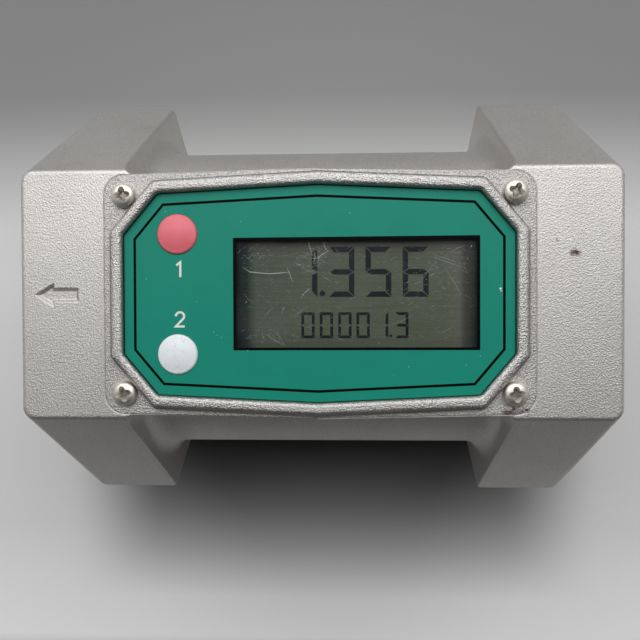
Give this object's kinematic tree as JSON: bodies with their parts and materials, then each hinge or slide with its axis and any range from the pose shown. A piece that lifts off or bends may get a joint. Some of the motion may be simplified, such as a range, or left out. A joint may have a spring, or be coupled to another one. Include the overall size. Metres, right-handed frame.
{
  "type": "digital turbine flow meter",
  "caption": "Cast turbine flow meter with hexagonal pipe-thread ends, a screwed-on display cover with an LCD window and push buttons, and a bladed rotor spinning in the flow bore.",
  "frame": {"origin": "centre of the bounding box at its bottom, on the plane of the back hexagon flats", "axes": "+X along the flow axis towards the inlet, +Z out of the display, +Y towards the top of the display"},
  "size_m": [0.1016, 0.0832, 0.0746],
  "materials": {
    "cast_aluminium": "bead-blasted die casting",
    "black_rubber": "matt",
    "nickel_steel": "bright nickel plate",
    "green_label": "printed polyester film",
    "clear_pane": "polished clear acrylic",
    "lcd_glass": "reflective liquid crystal glass",
    "black_plastic": "moulded",
    "grey_elastomer": "layered silicone",
    "circuit_laminate": "solder mask",
    "spring_steel": "ground",
    "copper_winding": "enamelled wire",
    "tinned_wire": "tinned",
    "white_acetal": "moulded",
    "grey_acetal": "moulded",
    "carbon_sleeve": "sintered carbon",
    "red_plastic": "moulded",
    "white_plastic": "moulded"
  },
  "bodies": {
    "housing": {"meter_body": "cast_aluminium", "cover_gasket": "black_rubber", "front_cover": "cast_aluminium", "cover_screws": "nickel_steel", "face_label": "green_label", "display_window": "clear_pane", "lcd_panel": "lcd_glass", "lcd_frame": "black_plastic", "lcd_connectors": "grey_elastomer", "circuit_board": "circuit_laminate", "board_screws": "nickel_steel", "controller_chip": "black_plastic", "switch_bodies": "black_plastic", "coin_cell": "nickel_steel", "battery_holder": "black_plastic", "battery_clip": "spring_steel", "pickup_coil": "copper_winding", "pickup_leads": "tinned_wire", "inlet_support": "white_acetal", "inlet_bearing": "carbon_sleeve", "inlet_retaining_ring": "spring_steel", "outlet_support": "white_acetal", "outlet_bearing": "carbon_sleeve", "outlet_retaining_ring": "spring_steel"},
    "turbine": {"turbine_rotor": "grey_acetal", "rotor_magnets": "nickel_steel", "rotor_shaft": "spring_steel", "thrust_washers": "carbon_sleeve"},
    "calibrate_key": {"calibrate_button": "red_plastic", "calibrate_plunger": "black_plastic"},
    "display_key": {"display_button": "white_plastic", "display_plunger": "black_plastic"}
  },
  "joints": [
    {"name": "rotor_spin", "type": "hinge", "parent": "housing", "child": "turbine", "pos_m": [0, 0, 0.0365], "axis": [1, 0, 0], "continuous": true},
    {"name": "calibrate_press", "type": "slide", "parent": "housing", "child": "calibrate_key", "axis": [0, 0, -1], "range_m": [0, 0.0006], "stiffness_N_per_m": 400, "springref_m": -0.002},
    {"name": "display_press", "type": "slide", "parent": "housing", "child": "display_key", "axis": [0, 0, -1], "range_m": [0, 0.0006], "stiffness_N_per_m": 400, "springref_m": -0.002}
  ]
}
